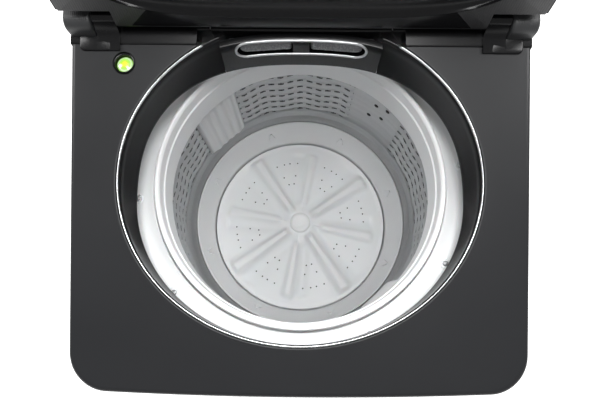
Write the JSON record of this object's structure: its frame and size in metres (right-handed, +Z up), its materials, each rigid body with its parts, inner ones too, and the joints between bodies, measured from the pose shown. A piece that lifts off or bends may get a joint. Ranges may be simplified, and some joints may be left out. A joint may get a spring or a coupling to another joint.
{
  "type": "top load washing machine",
  "caption": "Free-standing top load washing machine: steel cabinet, sloping oval-mouthed deck, hinged glass lid, perforated steel drum with pulsator, detergent drawer and rear console.",
  "frame": {"origin": "on the floor under the middle of the machine's plan", "axes": "+Z up, -Y towards the user, +X to the user's right"},
  "size_m": [0.608, 0.634, 1.4507],
  "materials": {
    "painted_steel": "satin dark grey paint",
    "graphite_plastic": "fine satin moulded graphite",
    "black_plastic": "satin black moulding",
    "white_plastic": "smooth white polypropylene",
    "stainless_steel": "rolled and embossed stainless sheet",
    "zinc_steel": "zinc plated",
    "chrome_plating": "bright chrome plating",
    "rubber": "moulded rubber",
    "tinted_glass": "dark tinted tempered glass",
    "level_fluid": "lime green liquid in clear plastic",
    "copper_winding": "copper-coloured enamelled aluminium windings on a laminated core",
    "circuit_board": "coated circuit board"
  },
  "bodies": {
    "root": {"cabinet": "painted_steel", "base_frame": "black_plastic", "rear_fascia": "black_plastic", "funnel_ring": "black_plastic", "level_cup": "black_plastic", "hinge_bracket_left": "black_plastic", "hinge_bracket_right": "black_plastic", "drain_pump": "black_plastic", "rear_cover": "zinc_steel", "suspension_rod_front_left": "zinc_steel", "suspension_rod_front_right": "zinc_steel", "suspension_rod_rear_left": "zinc_steel", "suspension_rod_rear_right": "zinc_steel", "foot_front_left": "rubber", "foot_front_right": "rubber", "foot_rear_left": "rubber", "foot_rear_right": "rubber", "cord_gland": "rubber", "top_deck": "graphite_plastic", "rear_console": "graphite_plastic", "chrome_trim": "chrome_plating", "control_panel": "tinted_glass", "control_board": "circuit_board", "level_vial": "level_fluid", "drawer_housing": "white_plastic", "inlet_valve": "white_plastic"},
    "tub": {"outer_tub": "white_plastic", "tub_cover": "white_plastic", "bearing_housing": "stainless_steel", "upper_bearing": "stainless_steel", "lower_bearing": "stainless_steel", "shaft_seal": "rubber", "stator": "copper_winding", "suspension_spring_front_left": "zinc_steel", "suspension_spring_front_right": "zinc_steel", "suspension_spring_rear_left": "zinc_steel", "suspension_spring_rear_right": "zinc_steel"},
    "drum": {"balance_ring": "white_plastic", "drum_base": "white_plastic", "mixer_panel": "white_plastic", "filter_panel": "white_plastic", "steel_drum": "stainless_steel", "hub_flange": "stainless_steel", "spin_shaft": "stainless_steel"},
    "pulsator": {"pulsator": "white_plastic", "pulsator_cap": "white_plastic", "wash_shaft": "stainless_steel", "motor_rotor": "stainless_steel"},
    "lid": {"lid_frame": "graphite_plastic", "lid_glass": "tinted_glass", "lid_inner_panel": "black_plastic", "hinge_pin_left": "zinc_steel", "hinge_pin_right": "zinc_steel"},
    "drawer": {"drawer_front": "black_plastic", "drawer_tray": "white_plastic"},
    "power_button": {"power_button": "chrome_plating"},
    "program_button": {"program_button": "chrome_plating"},
    "water_level_button": {"water_level_button": "chrome_plating"},
    "start_pause_button": {"start_pause_button": "chrome_plating"}
  },
  "joints": [
    {"name": "lid_hinge", "type": "hinge", "parent": "root", "child": "lid", "pos_m": [0, 0.164, 0.981], "axis": [1, 0, 0], "range_deg": [0, 111.8]},
    {"name": "detergent_drawer_slide", "type": "slide", "parent": "root", "child": "drawer", "axis": [0, 1, 0], "range_m": [-0.09, 0]},
    {"name": "tub_suspension", "type": "slide", "parent": "root", "child": "tub", "axis": [0, 0, 1], "range_m": [-0.015, 0.006], "stiffness_N_per_m": 15000, "springref_m": 0.0188, "deforming": ["suspension_spring_front_left", "suspension_spring_front_right", "suspension_spring_rear_left", "suspension_spring_rear_right"]},
    {"name": "drum_spin", "type": "hinge", "parent": "tub", "child": "drum", "pos_m": [0, -0.02, 0.475], "axis": [0, 0, 1], "continuous": true},
    {"name": "pulsator_spin", "type": "hinge", "parent": "tub", "child": "pulsator", "pos_m": [0, -0.02, 0.475], "axis": [0, 0, 1], "continuous": true},
    {"name": "power_button_press", "type": "slide", "parent": "root", "child": "power_button", "axis": [0, -0.2425, 0.9701], "range_m": [-0.002, 0], "stiffness_N_per_m": 500, "springref_m": 0.001},
    {"name": "program_button_press", "type": "slide", "parent": "root", "child": "program_button", "axis": [0, -0.2425, 0.9701], "range_m": [-0.002, 0], "stiffness_N_per_m": 500, "springref_m": 0.001},
    {"name": "water_level_button_press", "type": "slide", "parent": "root", "child": "water_level_button", "axis": [0, -0.2425, 0.9701], "range_m": [-0.002, 0], "stiffness_N_per_m": 500, "springref_m": 0.001},
    {"name": "start_pause_button_press", "type": "slide", "parent": "root", "child": "start_pause_button", "axis": [0, -0.2425, 0.9701], "range_m": [-0.002, 0], "stiffness_N_per_m": 500, "springref_m": 0.001}
  ]
}
